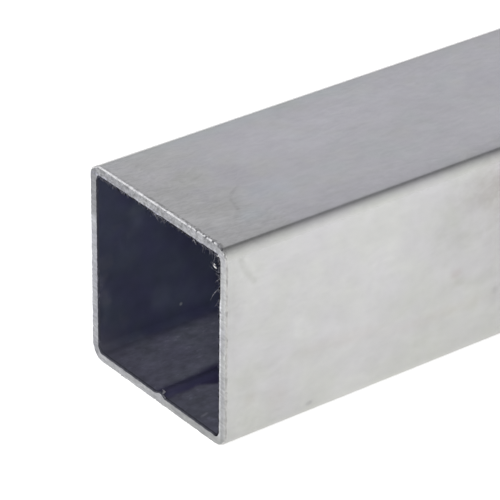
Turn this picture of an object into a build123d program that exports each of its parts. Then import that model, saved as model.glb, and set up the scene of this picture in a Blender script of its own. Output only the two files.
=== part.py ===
"""Square post: one length of welded square steel tube, saw-cut at both ends.

The tube is rolled from strip and closed by one lengthwise weld. The weld is scarfed flush
outside and leaves a low ridge of flash inside, on the wall that the post lies on.
X runs along the post, Y across it and Z up. The origin is at the middle of its underside.
"""
from build123d import *
import os

# Driving dimensions, in millimetres
length = 1000
width = 50  # across the flats, the same both ways
wall = 2.3
inside_bend_radius = 1.7
edge_break = 0.35  # bevel round the outer edge of each saw cut
flash_width = 4
flash_height = 0.9
flash_offset = -0.5  # from the middle of the bottom wall to the middle of the ridge, along Y
flash_lean = -0.6  # from the middle of the ridge to its crest, along Y

# Sizes that follow
outside_bend_radius = inside_bend_radius + wall  # the strip keeps its thickness round a bend
bore = width - 2 * wall

with BuildPart() as square_tube:
    with BuildSketch(Plane.YZ) as section:
        with Locations((0, width / 2)):
            RectangleRounded(width, width, outside_bend_radius)
            RectangleRounded(bore, bore, inside_bend_radius, mode=Mode.SUBTRACT)
        # the flash rises out of the inside of the bottom wall and runs back into it
        with BuildLine():
            crest = Spline(
                (flash_offset - flash_width / 2, wall),
                (flash_offset + flash_lean, wall + flash_height),
                (flash_offset + flash_width / 2, wall),
                tangents=((1, 0), (1, 0)),
            )
            Line(crest @ 1, crest @ 0)
        make_face()
    extrude(amount=length / 2, both=True)
    saw_cuts = square_tube.faces().filter_by(Axis.X)
    chamfer([edge for cut in saw_cuts for edge in cut.outer_wire().edges()], edge_break)

square_tube.part.label = "square_tube"
os.makedirs("parts", exist_ok=True)
export_step(square_tube.part, "parts/square_tube.step")
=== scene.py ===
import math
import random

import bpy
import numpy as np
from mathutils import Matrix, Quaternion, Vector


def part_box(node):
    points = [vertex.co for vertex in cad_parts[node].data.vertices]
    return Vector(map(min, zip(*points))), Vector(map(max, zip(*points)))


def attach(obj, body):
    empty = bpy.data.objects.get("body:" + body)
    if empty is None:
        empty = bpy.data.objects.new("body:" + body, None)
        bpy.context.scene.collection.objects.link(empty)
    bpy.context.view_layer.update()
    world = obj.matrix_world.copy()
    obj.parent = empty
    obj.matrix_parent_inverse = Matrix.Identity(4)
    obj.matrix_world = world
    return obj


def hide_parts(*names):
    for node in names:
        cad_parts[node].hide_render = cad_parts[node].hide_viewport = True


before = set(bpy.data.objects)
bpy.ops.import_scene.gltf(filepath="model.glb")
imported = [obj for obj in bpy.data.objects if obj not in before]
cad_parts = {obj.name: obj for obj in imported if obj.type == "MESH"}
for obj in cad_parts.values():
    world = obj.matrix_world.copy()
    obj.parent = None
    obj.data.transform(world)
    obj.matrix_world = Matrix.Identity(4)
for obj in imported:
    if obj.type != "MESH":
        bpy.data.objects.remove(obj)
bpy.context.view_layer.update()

# Square post: one length of welded square steel tube, lying on a pale floor.
# The outside is bright rolled steel with ripples, clouds of tint and handling marks. The ends are saw cut,
# with a bright bevel outside and a ragged burr inside. The bore is dark with scale, and has weld flash on
# its floor. Sizes are in metres, written in millimetres times MM. X runs along the tube, away from the near
# end, which the photograph shows. The right wall is the one on the -Y side.

MM = 0.001

# The tube, as in the CAD part
low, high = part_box("square_tube")
LENGTH = high.x - low.x
WIDTH = high.z - low.z
WALL = 2.3 * MM
BEND_INSIDE = 1.7 * MM
BEND_OUTSIDE = BEND_INSIDE + WALL
BEVEL = 0.35 * MM
FLASH_WIDTH = 4.0 * MM
FLASH_HEIGHT = 0.9 * MM
FLASH_OFFSET = -0.5 * MM
FLASH_LEAN = -0.6 * MM

# Wear and unevenness, which the CAD part leaves out
EDGE_WORN = 0.2 * MM  # this much is worn off the inner edge of the floor and roof walls
CORNER_WORN = 0.22 * MM  # this much is broken off the inner edge of the right wall, near its top
CORNER_WORN_FROM = 36 * MM  # from this height up
LIP = 0.4 * MM  # how far the saw rolled the inner edge into the bore, as a lip that carries painted shade
FLASH_SWAY = 0.12 * MM  # how far the flash wanders to either side
FLASH_UNEVEN = 0.15  # and how uneven it is, as a share of its height
SWAY_SEED = 12
HEIGHT_SEED = 11
FULLER = 0.36 * MM  # the top left bend stands out this much further than a round one
FULLER_ANGLE = 30  # at this angle above level, in degrees
FULLER_SPREAD = 27  # and less and less up to this many degrees from there
BLADE_RADIUS = 160 * MM  # of the arcs that the saw left
BLADE_OFFSET = 10 * MM  # how far to the right of the middle they are level

# Where more burr stands up from the inner edge of each cut: (y, z, half size, height), in millimetres
NEAR_BURRS = [(-15, 47.7, 7, 0.1), (0, 47.7, 4, 0.1), (10, 47.7, 14, 0.05)]
FAR_BURRS = [(21, 6, 9, 0.1), (-5, 47.7, 10, 0.06)]
NEAR_SEED = 100
FAR_SEED = 200

# How finely the tube is drawn
FLAT_COLUMNS = 150  # on each flat, near the saw cuts
BEND_COLUMNS = 18  # on each bend, near the saw cuts
COARSE_FLAT = 15  # away from the cuts every fifteenth column of a flat is kept
COARSE_BEND = 2  # and every second one of a bend
CUT_BAND = 5 * MM  # depth of the finely drawn band at each end
FLASH_BAND = 3.2 * MM  # all columns are kept this far either side of the flash
INSIDE_PITCHES = [(130 * MM, 1.4 * MM), (LENGTH, 5 * MM)]  # (up to this far from a cut, pitch)
OUTSIDE_PITCHES = [(60 * MM, 6 * MM), (LENGTH, 20 * MM)]
SHARP_ANGLE = 38  # edges between faces are smoothed up to this angle, in degrees

# The rings over each end: depths outside and in the bore, how many cross the rim, and steps over the bevel
# and the burr, as (share of its depth, share of its inset)
OUTSIDE_DEPTHS = (CUT_BAND, 3.4 * MM, 2.2 * MM, 1.4 * MM, 0.9 * MM)
BORE_DEPTHS = (1.1 * MM, 1.9 * MM, 3.0 * MM, CUT_BAND)
RIM_RINGS = 9
BEVEL_STEPS = ((0.72, 0.22), (0.3, 0.62), (0.1, 0.9))
BURR_STEPS = ((0.0, -0.1), (0.1, 0.8), (0.6, 0.9))

# The photograph's camera: its place from the bottom middle of the near cut, its angles in degrees, and its
# lens and sensor in millimetres
CAMERA_PLACE = Vector((-384.5, -530.8, 409.0)) * MM
CAMERA_AZIMUTH = -37.68
CAMERA_ELEVATION = 29.45
CAMERA_ROLL = 0.64
CAMERA_LENS = 250.8
CAMERA_SENSOR = 36.0
CAMERA_CLIP = (0.02, 60)

# The lamps: a softbox, placed from the middle of the near cut, and the way to a sun beside the camera
SOFTBOX_PLACE = Vector((-0.49, 0.69, 0.53)) * 1.3
SOFTBOX_SIZE = 0.78
SOFTBOX_BRIGHTNESS = 0.5
FILL_FROM = Vector((-0.6, -0.64, 0.49))
FILL_STRENGTH = 1.6
FILL_SOFTNESS = 25  # in degrees

# The studio round the tube: (angle up from the front horizon and over to the back one, in degrees,
# brightness, and its factors for red and blue). It has a dark gap overhead between the two angles of GAP,
# seen only in directions that slant along the tube.
GAP = (45, 91)
STUDIO = [
    (0, 0.97, 1.005, 0.975),
    (15, 0.92, 1.005, 0.97),
    (34, 0.8, 1.0, 0.98),
    (45, 0.7, 1.0, 0.99),
    (54, 0.57, 1.0, 1.0),
    (65, 0.41, 1.0, 1.01),
    (76, 0.23, 1.0, 1.03),
    (86, 0.17, 1.0, 1.04),
    (91, 0.59, 1.0, 1.04),
    (145, 0.6, 1.0, 1.05),
    (160, 0.54, 1.0, 1.03),
    (180, 0.48, 1.0, 1.02),
]
FLOOR_REACH = 6.0


class Section:
    """Columns round the tube's section, anticlockwise seen from +X, starting low on the +Y flat.

    A column's surface point lies on its ray, at reach less inset from its foot: inset is 0 outside and WALL
    inside. On the fuller bend it lies a little further out, less and less towards the inside.
    """

    def __init__(self):
        half, flat = WIDTH / 2, WIDTH / 2 - BEND_OUTSIDE
        feet, rays, reaches, coarse = [], [], [], []
        for quarter in range(4):
            turn = quarter * math.pi / 2
            out = np.array([math.cos(turn), math.sin(turn)])
            side = np.array([-out[1], out[0]])
            for step in range(FLAT_COLUMNS):
                feet.append(side * flat * (2 * step / FLAT_COLUMNS - 1))
                rays.append(out)
                reaches.append(half)
                coarse.append(step % COARSE_FLAT == 0)
            for step in range(BEND_COLUMNS):
                bend = step / BEND_COLUMNS * math.pi / 2
                feet.append((out + side) * flat)
                rays.append(out * math.cos(bend) + side * math.sin(bend))
                reaches.append(BEND_OUTSIDE)
                coarse.append(step % COARSE_BEND == 0)
        self.foot = np.array(feet)
        self.ray = np.array(rays)
        self.reach = np.array(reaches)
        self.count = len(feet)
        self.along = np.arange(self.count) * (4 * WIDTH / self.count)
        self.on_floor_wall = self.ray[:, 1] < -0.999
        angle = np.degrees(np.arctan2(self.ray[:, 1], self.ray[:, 0]))
        self.fuller = FULLER * bump_at(angle - FULLER_ANGLE, FULLER_SPREAD)
        outer_y = self.place(0.0)[0]
        near_flash = self.on_floor_wall & (np.abs(outer_y - FLASH_OFFSET) < FLASH_BAND)
        self.outside_kept = np.flatnonzero(coarse)
        self.inside_kept = np.flatnonzero(np.array(coarse) | near_flash)

    def place(self, inset):
        """Y and Z of every column at this inset, which is one number or one for each column."""
        fuller = self.fuller * np.clip(1 - inset / WALL, 0, 1)
        at = self.foot + self.ray * (self.reach + fuller - inset)[:, None]
        return np.minimum(at[:, 0], WIDTH / 2 - inset), at[:, 1] + WIDTH / 2

    def ring(self, x, inset):
        """A ring of points at this X and inset."""
        y, z = self.place(inset)
        return np.column_stack([np.broadcast_to(x, y.shape), y, z])

    def bore_inset(self, travel):
        """Inset of the bore's surface, this far from the near cut: the wall, and the flash on its floor."""
        y = self.place(WALL)[0]
        return WALL + np.where(self.on_floor_wall, flash_height(y, travel), 0.0)


def waves(t, shortest, longest, seed, count=14):
    """Smooth uneven values of about -1 to 1 along t, made of count waves with lengths between the two."""
    source = random.Random(seed)
    total = np.zeros_like(t, dtype=float)
    for _ in range(count):
        size = shortest * (longest / shortest) ** source.random()
        total += math.sqrt(size / longest) * np.sin(2 * math.pi * (t / size + source.random()))
    return total / math.sqrt(count / 4)


def bump_at(away, half):
    """1 at no distance away, falling smoothly to 0 at half."""
    return (1 - np.clip(np.abs(away) / half, 0, 1) ** 2) ** 2


def flash_height(y, travel):
    """Height of the weld flash over the inside of the floor wall, uneven along the tube."""
    travel = np.full_like(y, travel)
    middle = FLASH_OFFSET + FLASH_SWAY * waves(travel, 6 * MM, 60 * MM, SWAY_SEED)
    crest, half = middle + FLASH_LEAN, FLASH_WIDTH / 2
    before = (y - (middle - half)) / (crest - (middle - half))
    after = (middle + half - y) / (middle + half - crest)
    rise = np.clip(np.minimum(before, after), 0, 1)
    top = FLASH_HEIGHT * (1 - FLASH_UNEVEN + FLASH_UNEVEN * waves(travel, 2 * MM, 30 * MM, HEIGHT_SEED))
    return top * rise ** 2 * (3 - 2 * rise)


def saw_marks(y, z, seed):
    """Depth of the marks that the blade leaves: nearly level arcs across the whole cut."""
    level = z + (y + BLADE_OFFSET) ** 2 / (2 * BLADE_RADIUS)
    wide = 0.022 * waves(level, 1.1 * MM, 5 * MM, seed)
    narrow = 0.01 * waves(level, 0.55 * MM, 0.8 * MM, seed + 1)
    return (wide + narrow) * MM


def cut_rings(section, end_x, inward, burr_zones, seed):
    """Rings over one end, from the outside, over the bevel, the saw-cut rim and the burr, into the bore.

    Returns (points, kind) for each ring, where kind is the surface of the strip that leads to it. The burr
    zones are like NEAR_BURRS.
    """
    along = section.along
    inner_y, inner_z = section.place(WALL)
    ragged = waves(along, 0.9 * MM, 9 * MM, seed)
    nicks = np.clip(waves(along, 0.8 * MM, 2.4 * MM, seed + 3) - 0.75, 0, 1)
    bevel = BEVEL * (1 + 0.14 * ragged + 0.28 * nicks)
    burr = 0.05 + 0.03 * np.clip(waves(along, 0.8 * MM, 4 * MM, seed + 5), -1, 1.5)
    for zone_y, zone_z, half, height in burr_zones:
        away = np.hypot(inner_y - zone_y * MM, inner_z - zone_z * MM)
        burr += height * bump_at(away, half * MM) * (1 + 0.8 * ragged)
    burr = np.clip(burr, 0.02, 0.4) * MM
    torn_and_shaded_side = np.clip(np.maximum(section.ray[:, 1], -section.ray[:, 0]), 0, 1)
    crumpled = np.clip(0.9 + 0.4 * waves(along, 0.7 * MM, 2.5 * MM, seed + 9), 0.4, 1.5)
    rolled = LIP * (0.2 + 0.95 * torn_and_shaded_side) * crumpled
    rings = []

    def bore_at(depth):
        travel = depth if inward > 0 else LENGTH - depth
        return section.bore_inset(travel)

    def add(depth, inset, kind):
        x = end_x + inward * np.maximum(depth + np.zeros(section.count), 0.0)
        rings.append((section.ring(x, inset + np.zeros(section.count)), kind))

    # the outside, up to the bevel
    for depth in OUTSIDE_DEPTHS:
        add(depth, 0.0, "skin")
    add(bevel + 0.18 * MM, 0.0, "skin")
    add(bevel + 0.03 * MM, 0.004 * MM, "skin")
    for depth_share, inset_share in BEVEL_STEPS:
        add(depth_share * bevel, inset_share * bevel, "edge")

    # the sawn rim, up to its worn inner edge
    level_wall = np.clip((np.abs(section.ray[:, 1]) - 0.5) / 0.4, 0, 1)
    high_up = np.clip((inner_z - CORNER_WORN_FROM) / (1.5 * MM), 0, 1)
    high_right = np.clip(-section.ray[:, 0], 0, 1) * high_up
    worn = EDGE_WORN * level_wall + CORNER_WORN * high_right
    rim = bore_at(0.0)
    sawn = rim - worn
    start, stop = bevel + 0.04 * MM, sawn - 0.12 * MM
    for share in np.linspace(0, 1, RIM_RINGS):
        inset = start + (stop - start) * share
        y, z = section.place(inset)
        marks = saw_marks(y, z, seed + 7) * min(1.0, 4 * share + 0.2)
        add(0.035 * MM + marks, inset, "cut")
    for depth_share, inset_share in BURR_STEPS:
        add(depth_share * burr, sawn + inset_share * burr, "cut")

    # the rolled lip, which carries painted shade, and the bore
    add(0.16 * MM + 0.6 * burr, rim + 0.5 * burr + rolled, "lip")
    add(0.34 * MM + 0.6 * burr, rim + 0.5 * burr + 0.8 * rolled, "lip")
    add(0.7 * MM + 0.6 * burr, rim, "lip")
    for depth in BORE_DEPTHS:
        add(depth, bore_at(depth), "bore")
    return rings


class Skin:
    """Collects the vertices and faces of one closed mesh."""

    def __init__(self):
        self.points, self.faces, self.kinds = [], [], []
        self.used = 0

    def ring(self, points):
        """Adds a ring of points and returns their indices."""
        self.points.append(points)
        self.used += len(points)
        return np.arange(self.used - len(points), self.used)

    def strip(self, before, after, kind):
        """Quads between two rings of the same count."""
        next_before, next_after = np.roll(before, -1), np.roll(after, -1)
        self.faces += np.column_stack([after, next_after, next_before, before]).tolist()
        self.kinds += [kind] * len(before)

    def step(self, fine, coarse, kept, kind, coarse_is_after):
        """Faces between a fine ring and a coarse one, which has only the kept columns of the fine one."""
        for place, first in enumerate(kept):
            last = kept[(place + 1) % len(kept)]
            span = (last - first) % len(fine)
            run = [int(fine[(first + k) % len(fine)]) for k in range(span + 1)]
            a, b = int(coarse[place]), int(coarse[(place + 1) % len(kept)])
            self.faces.append([a, b] + run[::-1] if coarse_is_after else run + [b, a])
            self.kinds.append(kind)

    def join(self, rings, kept, kind):
        """Faces along a row of coarse rings that has a fine ring at each end."""
        self.step(rings[0], rings[1], kept, kind, True)
        for before, after in zip(rings[1:-1], rings[2:-1]):
            self.strip(before, after, kind)
        self.step(rings[-1], rings[-2], kept, kind, False)

    def mesh(self, name, kinds):
        """The mesh, whose faces take the material at their kind's place in kinds."""
        made = bpy.data.meshes.new(name)
        made.from_pydata(np.concatenate(self.points).tolist(), [], self.faces)
        made.polygons.foreach_set("material_index", [kinds.index(k) for k in self.kinds])
        made.polygons.foreach_set("use_smooth", [True] * len(self.faces))
        made.update()
        made.set_sharp_from_angle(angle=math.radians(SHARP_ANGLE))
        return made


def stations(span, pitches):
    """Distances from 0 to span, whose pitch depends on how far the nearer end is, as in INSIDE_PITCHES."""
    found, at = [], 0.0
    while at < span - 0.3 * MM:
        found.append(at)
        away = min(at, span - at)
        at += next(pitch for reach, pitch in pitches if away < reach)
    return found[1:]


def tube_mesh(kinds):
    """The whole tube as one closed mesh: two finely drawn ends, joined by plainer surfaces."""
    section, skin = Section(), Skin()
    near_rings = cut_rings(section, low.x, 1, NEAR_BURRS, NEAR_SEED)
    far_rings = cut_rings(section, high.x, -1, FAR_BURRS, FAR_SEED)
    near = [(skin.ring(points), kind) for points, kind in near_rings]
    far = [(skin.ring(points), kind) for points, kind in far_rings]
    for (before, _), (after, kind) in zip(near, near[1:]):
        skin.strip(before, after, kind)
    for (before, kind), (after, _) in zip(far[::-1], far[-2::-1]):
        skin.strip(before, after, kind)
    span = LENGTH - 2 * CUT_BAND
    kept = section.inside_kept
    bore = [near[-1][0]]
    for depth in stations(span, INSIDE_PITCHES):
        travel = CUT_BAND + depth
        ring = section.ring(low.x + travel, section.bore_inset(travel))
        bore.append(skin.ring(ring[kept]))
    bore.append(far[-1][0])
    skin.join(bore, kept, "bore")
    kept = section.outside_kept
    outside = [far[0][0]]
    for depth in stations(span, OUTSIDE_PITCHES):
        ring = section.ring(high.x - CUT_BAND - depth, np.zeros(section.count))
        outside.append(skin.ring(ring[kept]))
    outside.append(near[0][0])
    skin.join(outside, kept, "skin")
    return skin.mesh("steel_tube", kinds)


class Burr:
    """Collects thin curled slivers of steel that the saw left hanging."""

    STEPS = 7  # along each sliver
    THICKNESS = 0.06 * MM
    TIP = 0.012 * MM  # half the width of a sliver's end
    TAPER = 0.6  # the power at which the width falls
    SWAY = 0.12  # the most that a sliver turns about X at each step, in radians
    TWIST = 0.25  # and about its own line
    STRAND_CURL = 0.2  # the most that a strand bends over its length
    STRAND_DROP = 0.3  # how much deeper its tip lies than its root, in millimetres
    STRAND_SLACK = 1.04  # its length over the distance between them
    FRINGE_CURL = 2.4
    FRINGE_WIDTHS = (0.06, 0.16)
    FRINGE_DEPTH = 0.25

    def __init__(self, seed):
        self.source = random.Random(seed)
        self.points, self.faces, self.bright = [], [], []

    def either_way(self, most):
        return self.source.uniform(-most, most)

    def sliver(self, root, heading, length, width, curl, bright=False):
        """Adds one tapered four-sided blade, bent by this angle over its length."""
        at, forward = Vector(root), Vector(heading).normalized()
        across = forward.cross(Vector((1, 0.3, 0.2))).normalized()
        bend = Quaternion(across, curl / self.STEPS)
        sway = Quaternion(Vector((1, 0, 0)), self.either_way(self.SWAY))
        twist = Quaternion(forward, self.either_way(self.TWIST))
        first = len(self.points)
        for step in range(self.STEPS + 1):
            half = width / 2 * (1 - step / self.STEPS) ** self.TAPER + self.TIP
            rise = forward.cross(across).normalized() * self.THICKNESS / 2
            corners = (at + across * half, at + rise, at - across * half, at - rise)
            self.points += [Vector((max(p.x, low.x), p.y, p.z)) for p in corners]
            at = at + forward * (length / self.STEPS)
            forward = sway @ bend @ forward
            across = twist @ across
        for step in range(self.STEPS):
            a = first + 4 * step
            for k in range(4):
                self.faces.append([a + k, a + (k + 1) % 4, a + 4 + (k + 1) % 4, a + 4 + k])
        self.faces.append([first, first + 3, first + 2, first + 1])
        end = first + 4 * self.STEPS
        self.faces.append([end, end + 1, end + 2, end + 3])
        self.bright += [bright] * (4 * self.STEPS + 2)

    def strand(self, root_y, root_z, tip_y, tip_z, width, depth=0.4, bright=False):
        """One sliver between two places on the cut, in millimetres, this deep in the bore at its root."""
        root = Vector((low.x + depth * MM, root_y * MM, root_z * MM))
        tip = Vector((low.x + (depth + self.STRAND_DROP) * MM, tip_y * MM, tip_z * MM))
        span = tip - root
        length = span.length * self.STRAND_SLACK
        self.sliver(root, span, length, width * MM, self.either_way(self.STRAND_CURL), bright)

    def fringe(self, place, start, stop, count, shortest, longest, lean):
        """Slivers scattered along an inner edge: place gives the root and the way into the opening."""
        source = self.source
        for _ in range(count):
            at, away = place(source.uniform(start, stop) * MM)
            heading = away + Vector([self.either_way(lean) for _ in range(3)])
            at.x += source.uniform(0.0, self.FRINGE_DEPTH) * MM
            length = source.uniform(shortest, longest) * MM
            width = source.uniform(*self.FRINGE_WIDTHS) * MM
            self.sliver(at, heading, length, width, self.either_way(self.FRINGE_CURL))

    def tuft(self):
        """Slivers that spread from one place like a star, every second one bright."""
        for step in range(STAR_SLIVERS):
            bright = step % 2 == 1
            longest, width = STAR_BRIGHT if bright else STAR_DULL
            reach = longest * (0.65 + 0.35 * math.cos(1.7 * step))
            turn = STAR_TURN * step
            tip = STAR[0] + reach * math.cos(turn), STAR[1] + reach * math.sin(turn)
            self.strand(*STAR, *tip, width, STAR_DEPTH, bright)

    def mesh(self):
        """The mesh, whose bright slivers have flat sides and the second material."""
        made = bpy.data.meshes.new("saw_burr")
        made.from_pydata([tuple(p) for p in self.points], [], self.faces)
        made.polygons.foreach_set("material_index", [int(bright) for bright in self.bright])
        made.polygons.foreach_set("use_smooth", [not bright for bright in self.bright])
        made.update()
        return made


# The strands of burr that stand out on the near cut: (root y, root z, tip y, tip z, width), in millimetres
STRANDS = [
    (-22.5, 39.6, -17.7, 36.0, 0.3),
    (-22.1, 36.7, -20.3, 34.1, 0.15),
    (-22.6, 34.4, -21.1, 36.0, 0.18),
    (-21.8, 47.2, -20.7, 44.9, 0.45),
    (-22.3, 43.7, -20.2, 43.8, 0.4),
    (-20.6, 47.6, -19.5, 43.2, 0.32),
    (-21.0, 47.7, -20.0, 44.9, 0.3),
    (-22.5, 43.2, -18.6, 42.3, 0.14),
    (-22.4, 41.6, -19.9, 40.6, 0.3),
    (-22.5, 45.6, -21.2, 44.4, 0.3),
    (-22.6, 40.6, -20.9, 38.6, 0.16),
    (-18.9, 47.7, -17.8, 46.0, 0.26),
    (-17.4, 47.7, -18.4, 46.3, 0.22),
    (-13.2, 47.5, -12.0, 46.2, 0.6),
    (-12.4, 47.5, -13.6, 46.0, 0.5),
    (-11.6, 47.5, -10.6, 46.6, 0.4),
    (-2.8, 47.4, -0.2, 46.0, 0.34),
    (-0.8, 47.4, -2.6, 45.6, 0.3),
    (1.6, 47.4, 0.2, 45.7, 0.36),
    (0.4, 47.4, 2.4, 46.2, 0.3),
    (12.6, 47.4, 14.4, 46.4, 0.44),
    (15.0, 47.4, 13.2, 46.5, 0.34),
    (20.6, 47.3, 18.4, 46.6, 0.22),
    (21.6, 46.9, 20.0, 46.1, 0.26),
]
# Strands that lie on the cut itself: chips on the end of the weld flash, and a bright one pressed on the
# inner corner of the rim
CHIPS = [(-2.5, 4.5, -1.9, 2.7, 1.1), (-3.0, 2.7, -1.3, 3.1, 0.5)]
GLINT = (-22.2, 47.55, -21.1, 46.9, 0.55)
# A crumpled tuft near the top corner: (y, z) in millimetres, and (longest reach, width) of its slivers
STAR = (-20.6, 44.4)
STAR_BRIGHT = (0.8, 0.6)
STAR_DULL = (1.6, 0.26)
STAR_SLIVERS = 9
STAR_TURN = 2.4  # from each to the next, in radians
STAR_DEPTH = 0.05
# Fine burr along the inner edges: (edge, from, to, how many, shortest, longest, lean), in millimetres
FRINGES = [
    ("right", 41, 47, 84, 0.8, 2.6, 0.9),
    ("right", 33, 41, 40, 0.5, 1.8, 0.9),
    ("right", 4, 33, 38, 0.3, 0.9, 0.7),
    ("top", -22, -16, 40, 0.5, 2.4, 0.7),
    ("top", -16, -3, 46, 0.4, 1.5, 0.7),
    ("top", -3, 4, 46, 0.6, 2.1, 0.7),
    ("top", 4, 21, 60, 0.4, 1.5, 0.7),
]
BURR_SEED = 7


def burr_mesh():
    """Saw burr along the inner edges of the near cut, thickest near its top corner."""
    burr = Burr(BURR_SEED)
    half = WIDTH / 2 - WALL

    def along_right(z):
        return Vector((low.x, -half, z)), Vector((0.1, 1, -0.2))

    def along_top(y):
        return Vector((low.x, y, WIDTH - WALL)), Vector((0.1, -0.1, -1))

    edges = {"right": along_right, "top": along_top}
    for strand in STRANDS:
        burr.strand(*strand)
    for chip in CHIPS:
        burr.strand(*chip, depth=0.0)
    burr.tuft()
    for edge, *numbers in FRINGES:
        burr.fringe(edges[edge], *numbers)
    burr.strand(*GLINT, depth=0.0, bright=True)
    return burr.mesh()


class Nodes:
    """Short calls for building a material's or a world's node tree.

    A value is a number, or the output of another node. A colour is (red, green, blue), or such an output.
    """

    def __init__(self, owner):
        owner.use_nodes = True
        self.tree = owner.node_tree
        self.tree.nodes.clear()

    def add(self, kind, inputs=None, **settings):
        """Adds a shader node of this kind, with these inputs and settings."""
        node = self.tree.nodes.new("ShaderNode" + kind)
        for name, value in settings.items():
            setattr(node, name, value)
        for name, value in (inputs or {}).items():
            self.put(node.inputs[name], value)
        return node

    def put(self, socket, value):
        """Links the socket to another one, or sets its value."""
        if isinstance(value, bpy.types.NodeSocket):
            self.tree.links.new(value, socket)
        elif socket.type == "RGBA":
            socket.default_value = (*value, 1)
        else:
            socket.default_value = value

    def math(self, operation, a, b=0.0, c=0.0, clamp=False):
        node = self.add("Math", {0: a, 1: b, 2: c}, operation=operation, use_clamp=clamp)
        return node.outputs[0]

    def product(self, first, *others):
        """All these values multiplied."""
        for other in others:
            first = self.math("MULTIPLY", first, other)
        return first

    def scaled(self, value, factor, start):
        """The value times a factor, added to start."""
        return self.math("MULTIPLY_ADD", value, factor, start)

    def vector(self, operation, a, b=(0, 0, 0)):
        node = self.add("VectorMath", {0: a, 1: b}, operation=operation)
        return node.outputs["Value" if operation == "LENGTH" else "Vector"]

    def parts(self, vector):
        """X, Y and Z of a vector."""
        outputs = self.add("SeparateXYZ", {"Vector": vector}).outputs
        return outputs["X"], outputs["Y"], outputs["Z"]

    def point(self, x, y, z):
        return self.add("CombineXYZ", {"X": x, "Y": y, "Z": z}).outputs[0]

    def noise(self, place, scale, detail=2.0, roughness=0.5, stretch=(1, 1, 1), distortion=0.0, shift=None):
        """Noise of about 0 to 1 with this many features a millimetre, stretched along the axes."""
        if shift:
            place = self.vector("ADD", place, shift)
        place = self.vector("MULTIPLY", place, tuple(scale / s for s in stretch))
        values = {"Vector": place, "Scale": 1.0, "Detail": detail, "Roughness": roughness}
        values["Distortion"] = distortion
        return self.add("TexNoise", values).outputs["Fac"]

    def spread(self, value, low_in, high_in, low_out=0.0, high_out=1.0, smooth=False):
        """Maps a range of the value to another, and holds it there."""
        values = {
            "Value": value, "From Min": low_in, "From Max": high_in, "To Min": low_out, "To Max": high_out,
        }
        kind = "SMOOTHSTEP" if smooth else "LINEAR"
        return self.add("MapRange", values, interpolation_type=kind, clamp=True).outputs["Result"]

    def mix(self, share, a, b, blend="MIX"):
        """Mixes two colours."""
        node = self.add("Mix", data_type="RGBA", blend_type=blend, clamp_factor=True)
        self.put(node.inputs["Factor"], share)
        self.put(node.inputs["A"], a)
        self.put(node.inputs["B"], b)
        return node.outputs["Result"]

    def shaded(self, colour, shade):
        """The colour times a shade, which is a value or a colour."""
        return self.mix(1.0, colour, shade, "MULTIPLY")

    def tinted(self, colour, mask, tint, strength=1.0):
        """The colour times a tint where the mask is, at this strength."""
        return self.mix(self.math("MULTIPLY", mask, strength), colour, self.shaded(colour, tint))

    def ramp(self, value, stops):
        """A colour ramp of (place, colour) stops."""
        node = self.add("ValToRGB", {"Fac": value})
        elements = node.color_ramp.elements
        while len(elements) < len(stops):
            elements.new(0.5)
        for element, (place, colour) in zip(elements, stops):
            element.position = place
            element.color = (*colour, 1)
        return node.outputs["Color"]

    def place(self):
        """The point on the tube, in millimetres from the bottom middle of the near cut."""
        raw = self.add("TexCoord").outputs["Object"]
        moved = self.vector("SUBTRACT", raw, (low.x, 0, 0))
        return self.vector("MULTIPLY", moved, (1 / MM, 1 / MM, 1 / MM))

    def patch(self, place, centre, size, core, turn=0.0, axis=1):
        """1 in the core of an ellipsoid, falling to 0 at its surface.

        The core is a share of the half size, and the ellipsoid is turned about one axis, in degrees.
        """
        turns = [0.0, 0.0, 0.0]
        turns[axis] = math.radians(turn)
        values = {"Vector": place, "Location": centre, "Rotation": turns, "Scale": size}
        node = self.add("Mapping", values, vector_type="TEXTURE")
        return self.spread(self.vector("LENGTH", node.outputs[0]), core, 1.0, 1.0, 0.0, smooth=True)

    def segment(self, place, start, end, width):
        """1 on the line from start to end, in millimetres, falling to 0 at this distance from it."""
        start, along = Vector(start), Vector(end) - Vector(start)
        away = self.vector("SUBTRACT", place, tuple(start))
        values = {0: away, 1: tuple(along / along.length_squared)}
        share = self.add("VectorMath", values, operation="DOT_PRODUCT").outputs["Value"]
        share = self.math("ADD", share, clamp=True)
        values = {0: tuple(along), "Scale": share}
        foot = self.add("VectorMath", values, operation="SCALE").outputs["Vector"]
        distance = self.vector("LENGTH", self.vector("SUBTRACT", away, foot))
        return self.spread(distance, width, 0.2 * width, smooth=True)

    def surface(self, colour, metallic, roughness, height=None, strength=0.0, depth=0.0, others=None):
        """Ends a material in its shader. A height gives it bumps, whose depth is in millimetres."""
        values = {"Base Color": colour, "Metallic": metallic, "Roughness": roughness, **(others or {})}
        if height is not None:
            bump = {"Height": height, "Strength": strength, "Distance": depth * MM}
            values["Normal"] = self.add("Bump", bump).outputs[0]
        shader = self.add("BsdfPrincipled", values)
        self.add("OutputMaterial", {"Surface": shader.outputs[0]})


def new_material(name):
    made = bpy.data.materials.new(name)
    return made, Nodes(made)


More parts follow.
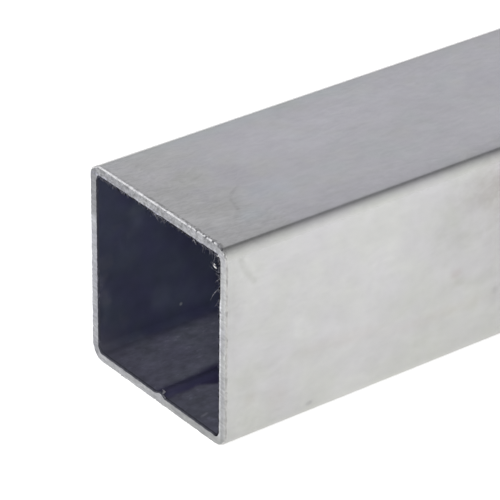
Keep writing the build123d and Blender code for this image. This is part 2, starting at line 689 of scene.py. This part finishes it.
# Handling marks on the skin: (centre, half size, turn about the face's normal, strength, tint), in
# millimetres and degrees, where a place on the top is (x, y) and on the right side (x, z). They come again,
# back and forth, over each such length of the tube, and on the hidden faces.
MARKED_LENGTH = 175
TOP_MARKS = [
    ((4, -2), (26, 40), 0, 0.9, (0.935, 0.935, 0.925)),
    ((14, -23), (80, 11), 0, 0.9, (0.91, 0.91, 0.91)),
    ((96, -25), (60, 9), 2, 0.9, (0.82, 0.82, 0.825)),
    ((100, -11), (30, 5), 0, 0.8, (1.08, 1.08, 1.08)),
    ((9, -8), (9, 6), -20, 0.7, (0.92, 0.92, 0.905)),
    ((7, 9), (5, 4), 0, 0.6, (1.06, 1.05, 1.05)),
    ((4, 3), (5, 4), 0, 0.6, (0.93, 0.93, 0.92)),
    ((21.7, 2), (7, 7), 35, 0.7, (0.93, 0.92, 0.94)),
    ((12, 5), (6, 6), 0, 0.6, (0.96, 0.97, 0.93)),
    ((24, -9), (8, 7), -10, 0.6, (0.98, 1.03, 1.06)),
    ((13.4, -15.5), (5, 4), 0, 0.4, (0.99, 1.04, 1.05)),
    ((40, 21), (60, 4), 0, 0.6, (0.98, 1.04, 1.03)),
    ((45, 8), (34, 14), 0, 0.8, (1.06, 1.055, 1.07)),
    ((85, 12), (40, 14), 0, 0.7, (1.05, 1.05, 1.065)),
    ((32, 16), (5, 4), 0, 0.5, (0.95, 0.94, 0.96)),
    ((97.5, 4), (9, 9), 0, 0.6, (0.95, 0.94, 0.96)),
]
SIDE_MARKS = [
    ((60, 2), (80, 20), -6, 0.9, (0.97, 0.975, 0.955)),
    ((94, 34), (48, 30), 0, 0.9, (0.895, 0.89, 0.88)),
    ((114, 45), (22, 10), 0, 0.8, (0.93, 0.92, 0.91)),
    ((75, 41.5), (17, 7), 0, 0.9, (0.89, 0.88, 0.875)),
    ((30, 20), (26, 22), 0, 0.8, (1.04, 1.04, 1.04)),
    ((36, 5), (13, 7), 0, 0.8, (1.07, 1.07, 1.07)),
    ((44, 33), (15, 9), 0, 0.8, (1.045, 1.045, 1.045)),
    ((12, 1), (22, 4), 0, 0.9, (0.93, 0.93, 0.93)),
    ((25, 38), (36, 16), 0, 0.8, (1.03, 1.03, 1.025)),
    ((0.0, 32), (7, 18), 4, 0.9, (0.93, 0.935, 0.92)),
    ((2, 8), (16, 18), 0, 0.9, (0.94, 0.945, 0.925)),
    ((14, 16.5), (19, 4.0), 3, 0.7, (0.955, 0.955, 0.94)),
    ((33, 17), (19, 3.0), 5, 0.7, (0.955, 0.94, 0.925)),
    ((60, 13.5), (24, 2.6), 1, 0.6, (0.965, 0.945, 0.93)),
    ((55, 19.5), (28, 5.0), 0, 0.7, (0.955, 0.96, 0.94)),
    ((20.1, 23.8), (4.2, 3.6), 20, 0.9, (1.05, 1.05, 1.06)),
    ((24.4, 26.4), (3.6, 2.8), 10, 0.6, (0.96, 0.96, 0.96)),
    ((33.9, 25.5), (6, 7), 10, 0.7, (0.95, 0.96, 0.93)),
    ((6.6, 10.8), (3.2, 3), 0, 0.5, (0.97, 0.945, 0.935)),
    ((14, 9), (4, 6), -8, 0.5, (0.97, 0.945, 0.93)),
    ((88, 41), (24, 18), 14, 0.9, (0.92, 0.89, 0.88)),
    ((62, 33), (8, 12), -30, 0.8, (0.935, 0.945, 0.92)),
    ((64.4, 22.6), (2.6, 2.2), 0, 0.9, (0.95, 0.92, 0.915)),
    ((65, 20.0), (3.4, 1.8), -15, 0.8, (0.93, 0.93, 0.91)),
    ((76.3, 14.3), (1.6, 1.6), 0, 0.8, (0.9, 0.9, 0.9)),
    ((23, 4), (1.5, 0.9), 0, 0.9, (0.84, 0.84, 0.85)),
]
MARK_CORE = 0.2
MARK_DEPTH = 3  # they fade out round a bend, this far below the face
MARKED_FULLY = 150.0  # the marks all show this far from the near cut, and come and go beyond
# Scratches, each a run of places on a face, in millimetres: (places, width, strength, tint)
SIDE_SCRATCH = [(3.8, -25, 46.2), (5.0, -25, 43.4), (6.4, -25, 41.4), (7.4, -25, 40.2)]
SIDE_SHINE = [(5.2, -25, 46.4), (7.6, -25, 43.0)]
TOP_SCRATCH = [(19.4, -3.4, 50), (16.6, -5.0, 50), (14.4, -6.8, 50), (12.9, -11.9, 50)]
TOP_TAIL = [(12.9, -11.9, 50), (9.2, -15.6, 50)]
SCRATCHES = [
    (SIDE_SCRATCH, 1.1, 0.55, (0.83, 0.835, 0.81)),
    (SIDE_SHINE, 0.9, 0.5, (1.06, 1.06, 1.05)),
    (TOP_SCRATCH, 0.7, 0.55, (0.82, 0.82, 0.82)),
    (TOP_TAIL, 0.9, 0.4, (0.84, 0.84, 0.84)),
]


def handling_marks(n, colour, place, worn):
    """The colour with the handling marks and scratches, uneven where the skin is worn."""
    x, y, z = n.parts(place)
    handled = n.spread(n.noise(place, 0.02, detail=1.0, shift=(60, 3, 9)), 0.35, 0.65, 0.2, 1.0)
    handled = n.math("MAXIMUM", handled, n.spread(x, MARKED_FULLY + 40.0, MARKED_FULLY))
    wear = n.product(n.spread(worn, 0.25, 0.65, 0.45, 1.25), handled)
    half = WIDTH / MM / 2
    folded_x = n.math("PINGPONG", x, MARKED_LENGTH)
    folded_y = n.product(n.math("ABSOLUTE", y), -1.0)
    folded_z = n.math("ADD", n.math("ABSOLUTE", n.math("SUBTRACT", z, half)), half)
    on_top = n.point(folded_x, y, folded_z)
    on_side = n.point(folded_x, folded_y, z)
    for centre, (long, wide), turn, strength, tint in TOP_MARKS:
        mask = n.patch(on_top, (*centre, 2 * half), (long, wide, MARK_DEPTH), MARK_CORE, turn, 2)
        colour = n.tinted(colour, n.product(mask, wear), tint, strength)
    for (along, up), (long, tall), turn, strength, tint in SIDE_MARKS:
        mask = n.patch(on_side, (along, -half, up), (long, MARK_DEPTH, tall), MARK_CORE, turn, 1)
        colour = n.tinted(colour, n.product(mask, wear), tint, strength)
    broken = n.spread(worn, 0.3, 0.55, 0.3, 1.0)
    for places, width, strength, tint in SCRATCHES:
        mask = 0.0
        for start, end in zip(places, places[1:]):
            mask = n.math("MAXIMUM", mask, n.segment(place, start, end, width))
        colour = n.tinted(colour, n.product(mask, broken), tint, strength)
    return colour


def rolled_skin():
    """Bright rolled steel: soft clouds of tint, short lengthwise ripples, smudges and a few scratches."""
    made, n = new_material("rolled_steel")
    place = n.place()
    x, y, z = n.parts(place)
    slow = n.vector("MULTIPLY", place, (0.25, 0.25, 0.25))
    wander = n.add("TexNoise", {"Vector": slow, "Scale": 1.0}).outputs["Color"]
    wavy = n.vector("ADD", place, n.vector("MULTIPLY", wander, (3.0, 3.0, 3.0)))
    clouds = n.noise(place, 0.05, shift=(31, 5, 17))
    blobs = n.noise(place, 0.22, detail=3.0, roughness=0.6, stretch=(1.1, 1, 1))
    tints = n.noise(wavy, 0.1, shift=(40, 7, 3))
    warmth = n.noise(wavy, 0.13, shift=(5, 70, 9))
    mottle = n.noise(wavy, 0.6, detail=3.0, roughness=0.6, stretch=(2.6, 1, 1), shift=(3, 2, 1))
    ripples = n.noise(wavy, 0.85, roughness=0.6, stretch=(6.5, 1, 1), distortion=0.5)
    fine = n.noise(wavy, 1.9, detail=1.0, stretch=(4.0, 1, 1), shift=(4, 9, 2))
    worn = n.noise(place, 0.5, roughness=0.6, stretch=(1.5, 1, 1), shift=(8, 8, 8))
    dashes = n.noise(place, 1.3, detail=1.0, shift=(6, 1, 2))
    near_cut = n.spread(x, 6.0, 26.0, 1.0, 0.25)
    on_top = n.spread(z, 48.0, 50.0)

    # tints: violet and green clouds, which turn warm near the cut, and paler ones on the sides
    violet, green, warm = (0.648, 0.641, 0.659), (0.64, 0.651, 0.655), (0.647, 0.645, 0.636)
    side_violet, side_green = (0.622, 0.621, 0.638), (0.62, 0.627, 0.621)
    top = n.mix(n.spread(tints, 0.52, 0.7), violet, green)
    warmth = n.scaled(n.spread(x, 30.0, 6.0), 0.25, warmth)
    top = n.mix(n.spread(warmth, 0.52, 0.74), top, warm)
    side = n.mix(n.spread(tints, 0.36, 0.64), side_violet, side_green)
    colour = n.mix(on_top, side, top)

    # shades: clouds everywhere, and ripples that are strongest on top near the cut
    shade = n.scaled(n.spread(blobs, 0.28, 0.72), 0.07, 0.925)
    shade = n.scaled(n.spread(clouds, 0.3, 0.7), 0.05, shade)
    shade = n.scaled(n.spread(mottle, 0.3, 0.7), 0.035, shade)
    depth = n.product(near_cut, n.scaled(on_top, 0.08, 0.03))
    shade = n.scaled(n.spread(ripples, 0.36, 0.64, -0.5, 0.5), depth, shade)
    shade = n.scaled(n.spread(fine, 0.34, 0.66, -0.5, 0.5), n.product(depth, 0.7), shade)
    colour = n.shaded(colour, shade)
    colour = handling_marks(n, colour, place, worn)

    # painted shade: a dark line behind the bevel, broken into dashes
    painted_shade_behind_bevel = n.product(n.spread(x, 1.2, 0.8), n.spread(dashes, 0.44, 0.54))
    painted_shade_behind_bevel = n.product(painted_shade_behind_bevel, n.spread(y, 14.0, -4.0, 0.4, 1.0), on_top)
    colour = n.tinted(colour, painted_shade_behind_bevel, (0.6, 0.6, 0.6))
    height = n.math("ADD", n.product(ripples, near_cut), n.product(mottle, 0.3))
    roughness = n.spread(clouds, 0.3, 0.7, 0.17, 0.23)
    n.surface(colour, metallic=1.0, roughness=roughness, height=height, strength=0.3, depth=0.04)
    return made


def saw_cut():
    """Bare steel with the blade's marks: smeared bright on the right, torn and speckled along the top, with
    painted highlights along the inner edges of both.
    """
    made, n = new_material("saw_cut_steel")
    place = n.place()
    _, y, z = n.parts(place)
    fine = n.noise(place, 1.9, roughness=0.6, stretch=(1, 6, 1))
    patches = n.noise(place, 0.16)
    flecks = n.noise(place, 1.1, roughness=0.7, shift=(2, 6, 4))
    torn = n.noise(place, 1.1, detail=3.0, roughness=0.75, shift=(5, 3, 7))
    colour = n.mix(n.spread(patches, 0.35, 0.65), (0.395, 0.4, 0.43), (0.455, 0.465, 0.48))

    # the right wall: brighter upwards and at its outer edge, with a painted highlight along its inner edge
    # below the broken part
    right = n.product(n.spread(y, -22.0, -22.8), n.spread(z, 14.0, 36.0, 0.5, 1.0))
    colour = n.tinted(colour, right, (1.2, 1.2, 1.18))
    colour = n.tinted(colour, n.spread(y, -23.8, -24.7), (1.28, 1.28, 1.24))
    inner = n.product(n.spread(y, -23.25, -23.0), n.spread(z, 37.4, 36.6), n.spread(z, 4.0, 24.0, 0.6, 1.0))
    colour = n.tinted(colour, inner, (1.5, 1.5, 1.52))

    # the left and floor walls: darker
    colour = n.tinted(colour, n.spread(y, 22.2, 22.9), (0.75, 0.75, 0.76))
    below = n.spread(z, 2.9, 1.9)
    colour = n.tinted(colour, below, (0.91, 0.91, 0.9))
    colour = n.tinted(colour, n.product(below, n.spread(y, -1.0, -5.0)), (0.88, 0.88, 0.86))

    # the roof wall: torn, with painted highlights in flecks along its inner edge
    above = n.product(n.spread(z, 47.2, 47.6), n.spread(y, -23.5, -21.0))
    colour = n.mix(above, colour, n.shaded(colour, n.spread(torn, 0.32, 0.62, 0.5, 1.17)))
    edge = n.product(n.spread(z, 48.25, 48.0), above, n.spread(flecks, 0.4, 0.55))
    colour = n.tinted(colour, edge, (1.25, 1.25, 1.38))
    colour = n.shaded(colour, n.spread(fine, 0.3, 0.7, 0.82, 1.12))
    colour = n.shaded(colour, n.spread(flecks, 0.3, 0.7, 0.88, 1.12))
    n.surface(colour, metallic=1.0, roughness=0.38, height=fine, strength=0.4, depth=0.03)
    return made


def filed_edge():
    """The bevel round the cut: a bright line along the top, partly a painted highlight, broken into specks
    near the right corner.
    """
    made, n = new_material("filed_edge")
    place = n.place()
    _, y, z = n.parts(place)
    flecks = n.noise(place, 0.7, detail=3.0, roughness=0.75)
    gaps = n.noise(place, 1.2, detail=1.0, shift=(4, 2, 6))
    colour = n.mix(n.spread(flecks, 0.34, 0.58), (0.6, 0.6, 0.61), (0.88, 0.88, 0.88))

    # the top right corner: painted shade before the bend, and a painted highlight on it
    corner = n.product(n.spread(y, -20.6, -21.6), n.spread(z, 46.6, 48.2))
    colour = n.tinted(colour, corner, (0.46, 0.46, 0.47))
    bend = n.product(n.spread(y, -21.5, -23.0), n.spread(z, 45.6, 47.2), n.spread(z, 49.3, 48.5))
    colour = n.mix(bend, colour, (0.97, 0.97, 0.97))

    # darker down both sides, on the right as a painted shade line, and along the top broken near the right
    # corner
    low_down = n.spread(z, 49.0, 46.5)
    colour = n.tinted(colour, n.product(low_down, n.spread(y, -23.0, -24.4)), (0.64, 0.64, 0.63))
    colour = n.tinted(colour, n.product(low_down, n.spread(y, 23.0, 24.4)), (0.46, 0.46, 0.47))
    broken = n.product(n.spread(y, -7.0, -15.0), n.spread(gaps, 0.5, 0.42), n.spread(z, 46.5, 49.0))
    colour = n.mix(broken, colour, (0.17, 0.17, 0.18))
    n.surface(colour, metallic=1.0, roughness=0.32, height=flecks, strength=0.4, depth=0.03)
    return made


def lip_with_painted_shade():
    """The rough edge that the saw rolled into the bore, with dots of bare steel: dark scale, and almost
    black as painted shade along the right and roof walls.
    """
    made, n = new_material("lip_with_painted_shade")
    place = n.place()
    _, y, z = n.parts(place)
    dots = n.noise(place, 1.1, detail=1.0, roughness=0.6, shift=(1, 2, 3))
    # painted shade: almost black along the right wall and most of the roof
    under_top = n.product(n.spread(z, 45.5, 46.5), n.spread(y, 20.5, 17.5))
    torn_and_shaded_side = n.math("MAXIMUM", n.spread(y, -20.5, -21.5), under_top)
    plain_side = n.mix(n.spread(z, 4.5, 3.5), (0.055, 0.057, 0.075), (0.068, 0.07, 0.088))
    colour = n.mix(torn_and_shaded_side, plain_side, (0.006, 0.006, 0.01))
    colour = n.mix(n.spread(dots, 0.6, 0.7), colour, (0.1, 0.1, 0.13))
    n.surface(colour, metallic=0.0, roughness=0.8, others={"Specular IOR Level": 0.1})
    return made


def torn_steel():
    """Bent slivers of steel, darkened as painted shade."""
    made, n = new_material("torn_steel")
    streaks = n.noise(n.place(), 1.3, roughness=0.6)
    colour = n.mix(n.spread(streaks, 0.35, 0.65), (0.11, 0.11, 0.135), (0.32, 0.32, 0.37))
    n.surface(colour, metallic=1.0, roughness=0.5)
    return made


# Paler blotches on the bore's left wall: (centre, half size), in millimetres
BORE_BLOTCHES = [
    ((11.2, 22.7, 33.9), (3.4, 3, 5.0)),
    ((7.6, 22.7, 28.2), (2.4, 3, 4.2)),
    ((17.1, 22.7, 10.5), (4.2, 3, 5.0)),
    ((2.6, 22.7, 14.8), (1.8, 3, 6.0)),
]
# Small marks of bare steel in the bore: a smudge and a speck on the left wall, a scrape on the floor
SMUDGE = ((0.8, 22.7, 19), (1.8, 3, 4.5))
SPECK = ((23.2, 22.7, 6.6), (0.6, 1.0, 0.6))
SCRAPE = ((2.2, -13.4, 2.3), (4.0, -12.9, 2.3))


def bore_wall(n, place, tints, loose, blobs):
    """Dark blue scale with dust and blotches near the cut, made lighter further in and higher up as painted
    light, and with painted shade in its low corner.
    """
    x, y, z = n.parts(place)
    dust = n.noise(place, 0.24, detail=1.0, shift=(7, 1, 4))
    wall = n.mix(n.spread(tints, 0.38, 0.62), (0.051, 0.054, 0.103), (0.055, 0.064, 0.101))
    wall = n.shaded(wall, n.spread(blobs, 0.28, 0.72, 0.86, 1.16))
    # painted light: lighter further in and higher up, against the fall of light inside the tube
    wall = n.shaded(wall, n.spread(x, 0.0, 42.0, 0.66, 1.32))
    wall = n.shaded(wall, n.spread(z, 22.0, 42.0, 0.97, 1.2))
    # painted shade along the low corner by the floor
    corner = n.spread(n.scaled(loose, 1.2, z), 7.6, 3.6, smooth=True)
    corner = n.product(corner, n.spread(n.math("ABSOLUTE", y), 17.0, 20.0), n.spread(x, 4.0, 15.0))
    wall = n.tinted(wall, corner, (0.84, 0.83, 0.9))
    dusty = n.product(n.spread(x, 13.0, 5.0), n.spread(dust, 0.5, 0.62), 0.22)
    wall = n.mix(dusty, wall, (0.085, 0.085, 0.1))
    uneven = n.spread(dust, 0.36, 0.46, 0.3, 1.0)
    for centre, size in BORE_BLOTCHES:
        blotch = n.product(n.patch(place, centre, size, 0.3), uneven)
        wall = n.tinted(wall, blotch, (1.25, 1.26, 1.18))
    near_corner = n.product(n.spread(x, 9.0, 1.0), n.spread(z, 9.0, 3.0), 0.6)
    return n.mix(near_corner, wall, (0.095, 0.092, 0.12))


def bore_floor(n, place, tints, loose, stains, grain):
    """Greyer scale with grains and specks, lighter further in and towards the right wall as painted light,
    and a dark band along the weld.
    """
    x, y, _ = n.parts(place)
    specks = n.noise(place, 0.9, roughness=0.6, stretch=(1.6, 1, 1), shift=(3, 1, 8))
    floor = n.mix(n.spread(tints, 0.38, 0.62), (0.149, 0.149, 0.202), (0.147, 0.153, 0.195))
    floor = n.shaded(floor, n.spread(grain, 0.28, 0.72, 0.74, 1.24))
    floor = n.shaded(floor, n.spread(stains, 0.3, 0.7, 0.9, 1.08))
    floor = n.shaded(floor, n.spread(specks, 0.6, 0.72, 1.0, 1.36))
    # painted light: lighter further in and towards the right wall
    floor = n.shaded(floor, n.spread(x, 0.0, 28.0, 0.7, 1.36))
    floor = n.shaded(floor, n.spread(y, -10.0, -20.0, 1.0, 1.22))
    far_side = n.math("ADD", loose, n.spread(x, 8.0, 24.0, 1.5, 3.2))
    near_side = n.scaled(loose, 0.9, n.spread(x, 10.0, 13.5, -2.7, -4.4))
    beyond = n.spread(n.math("SUBTRACT", y, far_side), 1.2, -1.4, smooth=True)
    before = n.spread(n.math("SUBTRACT", y, near_side), -0.9, 0.9, smooth=True)
    return n.mix(n.product(beyond, before), floor, (0.045, 0.042, 0.092))


def bore_scale():
    """Dark blue scale inside the tube, greyer on the floor up to a ragged line near its left edge, and
    lighter there partly as painted light.
    """
    made, n = new_material("bore_scale")
    place = n.place()
    x, y, z = n.parts(place)
    blobs = n.noise(place, 0.17, detail=3.0, roughness=0.6)
    tints = n.noise(place, 0.12, shift=(9, 2, 5))
    stains = n.noise(place, 0.3, detail=3.0, roughness=0.6, stretch=(1.6, 1, 1), shift=(3, 4, 8))
    grain = n.noise(place, 0.55, detail=3.0, roughness=0.65, stretch=(1.6, 1, 1), shift=(1, 6, 2))
    loose = n.scaled(stains, 2.0, -1.0)
    wall = bore_wall(n, place, tints, loose, blobs)
    floor = bore_floor(n, place, tints, loose, stains, grain)

    # the floor's grey ends in a ragged line, which comes in further near the cut
    drift = n.scaled(n.spread(x, 4.0, 16.0), 1.5, y)
    inside = n.spread(n.scaled(loose, 1.4, drift), 24.2, 18.6, smooth=True)
    near_left = n.scaled(loose, 0.8, n.math("SUBTRACT", y, x))
    level = n.product(n.spread(z, 4.4, 2.3), inside, n.spread(near_left, 23.0, 13.0))
    colour = n.mix(level, wall, floor)

    # small marks of bare steel
    bare = n.spread(grain, 0.3, 0.6)
    colour = n.mix(n.product(n.patch(place, *SMUDGE, 0.1), bare, 0.35), colour, (0.15, 0.15, 0.2))
    colour = n.mix(n.patch(place, *SPECK, 0.3), colour, (0.2, 0.21, 0.24))
    colour = n.mix(n.product(n.segment(place, *SCRAPE, 0.55), bare), colour, (0.24, 0.24, 0.28))
    height = n.math("ADD", n.product(grain, level), n.product(blobs, 0.4))
    n.surface(colour, metallic=0.1, roughness=0.5, height=height, strength=0.4, depth=0.05)
    return made


def pale_floor():
    """A white floor that keeps the tube's shadow. A glow of its own makes it white in the picture."""
    made, n = new_material("pale_floor")
    seen = n.add("LightPath").outputs["Is Camera Ray"]
    glow = n.mix(seen, (0.27, 0.262, 0.245), (0.5, 0.5, 0.5))
    others = {"Specular IOR Level": 0.0, "Emission Strength": 1.0, "Emission Color": glow}
    n.surface((0.88, 0.88, 0.88), metallic=0.0, roughness=0.9, others=others)
    return made


def studio_world():
    """White to the camera. The tube sees a bright wall in front, a dimmer one behind and a gap overhead."""
    world = bpy.data.worlds.new("studio")
    bpy.context.scene.world = world
    n = Nodes(world)
    x, y, z = n.parts(n.add("TexCoord").outputs["Generated"])
    turn = n.math("ARCTAN2", n.math("ABSOLUTE", z), n.product(y, -1.0))
    turn = n.math("DIVIDE", turn, math.pi)

    def sky(stops):
        colours = [(level * red, level, level * blue) for _, level, red, blue in stops]
        return n.ramp(turn, [(stop[0] / 180, colour) for stop, colour in zip(stops, colours)])

    no_gap = [stop for stop in STUDIO if not GAP[0] < stop[0] < GAP[1]]
    straight_up = n.spread(n.math("ABSOLUTE", x), 0.3, 0.1)
    colour = n.mix(straight_up, sky(STUDIO), sky(no_gap))
    seen = n.add("LightPath").outputs["Is Camera Ray"]
    colour = n.mix(seen, colour, (1, 1, 1))
    background = n.add("Background", {"Color": colour, "Strength": 1.0})
    n.add("OutputWorld", {"Surface": background.outputs[0]})


def put(name, data, *materials):
    """Adds an object for a mesh, a lamp or a camera. A mesh gets these materials."""
    made = bpy.data.objects.new(name, data)
    for material in materials:
        data.materials.append(material)
    bpy.context.scene.collection.objects.link(made)
    return made


def lamp(data, way):
    """Adds a lamp that shines this way."""
    made = put(data.name, data)
    made.rotation_euler = way.to_track_quat("-Z", "Y").to_euler()
    return made


def left_softbox():
    """A square lamp that faces the near cut from its left."""
    data = bpy.data.lights.new("left_softbox", "AREA")
    data.shape = "SQUARE"
    data.size = SOFTBOX_SIZE
    data.energy = SOFTBOX_BRIGHTNESS * math.pi * SOFTBOX_SIZE ** 2
    lamp(data, -SOFTBOX_PLACE).location = Vector((low.x, 0, WIDTH / 2)) + SOFTBOX_PLACE


def front_fill():
    """Soft light from beside the camera, which reaches into the bore. Polished faces don't mirror it."""
    data = bpy.data.lights.new("front_fill", "SUN")
    data.energy = FILL_STRENGTH
    data.angle = math.radians(FILL_SOFTNESS)
    lamp(data, -FILL_FROM).visible_glossy = False


def photo_camera():
    data = bpy.data.cameras.new("photo_camera")
    data.lens = CAMERA_LENS
    data.sensor_width = CAMERA_SENSOR
    data.clip_start, data.clip_end = CAMERA_CLIP
    camera = put("photo_camera", data)
    azimuth, elevation = math.radians(CAMERA_AZIMUTH), math.radians(CAMERA_ELEVATION)
    level = math.cos(elevation)
    back = Vector((math.sin(azimuth) * level, -math.cos(azimuth) * level, math.sin(elevation)))
    camera.location = Vector((low.x, 0, low.z)) + CAMERA_PLACE
    camera.rotation_mode = "QUATERNION"
    roll = Quaternion((0, 0, 1), math.radians(CAMERA_ROLL))
    camera.rotation_quaternion = (-back).to_track_quat("-Z", "Y") @ roll
    bpy.context.scene.camera = camera


def floor_mesh():
    corners = [(-1, -1), (1, -1), (1, 1), (-1, 1)]
    made = bpy.data.meshes.new("floor")
    made.from_pydata([(x * FLOOR_REACH, y * FLOOR_REACH, 0) for x, y in corners], [], [(0, 1, 2, 3)])
    return made


def main():
    edge = filed_edge()
    kinds = ["skin", "cut", "bore", "edge", "lip"]
    tube = put("steel_tube", tube_mesh(kinds), rolled_skin(), saw_cut(), bore_scale(), edge, lip_with_painted_shade())
    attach(tube, "root")
    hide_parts("square_tube")
    burr = put("saw_burr", burr_mesh(), torn_steel(), edge)
    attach(burr, "root")
    put("floor", floor_mesh(), pale_floor())
    studio_world()
    left_softbox()
    front_fill()
    photo_camera()
    bpy.context.scene.view_settings.view_transform = "Standard"


main()
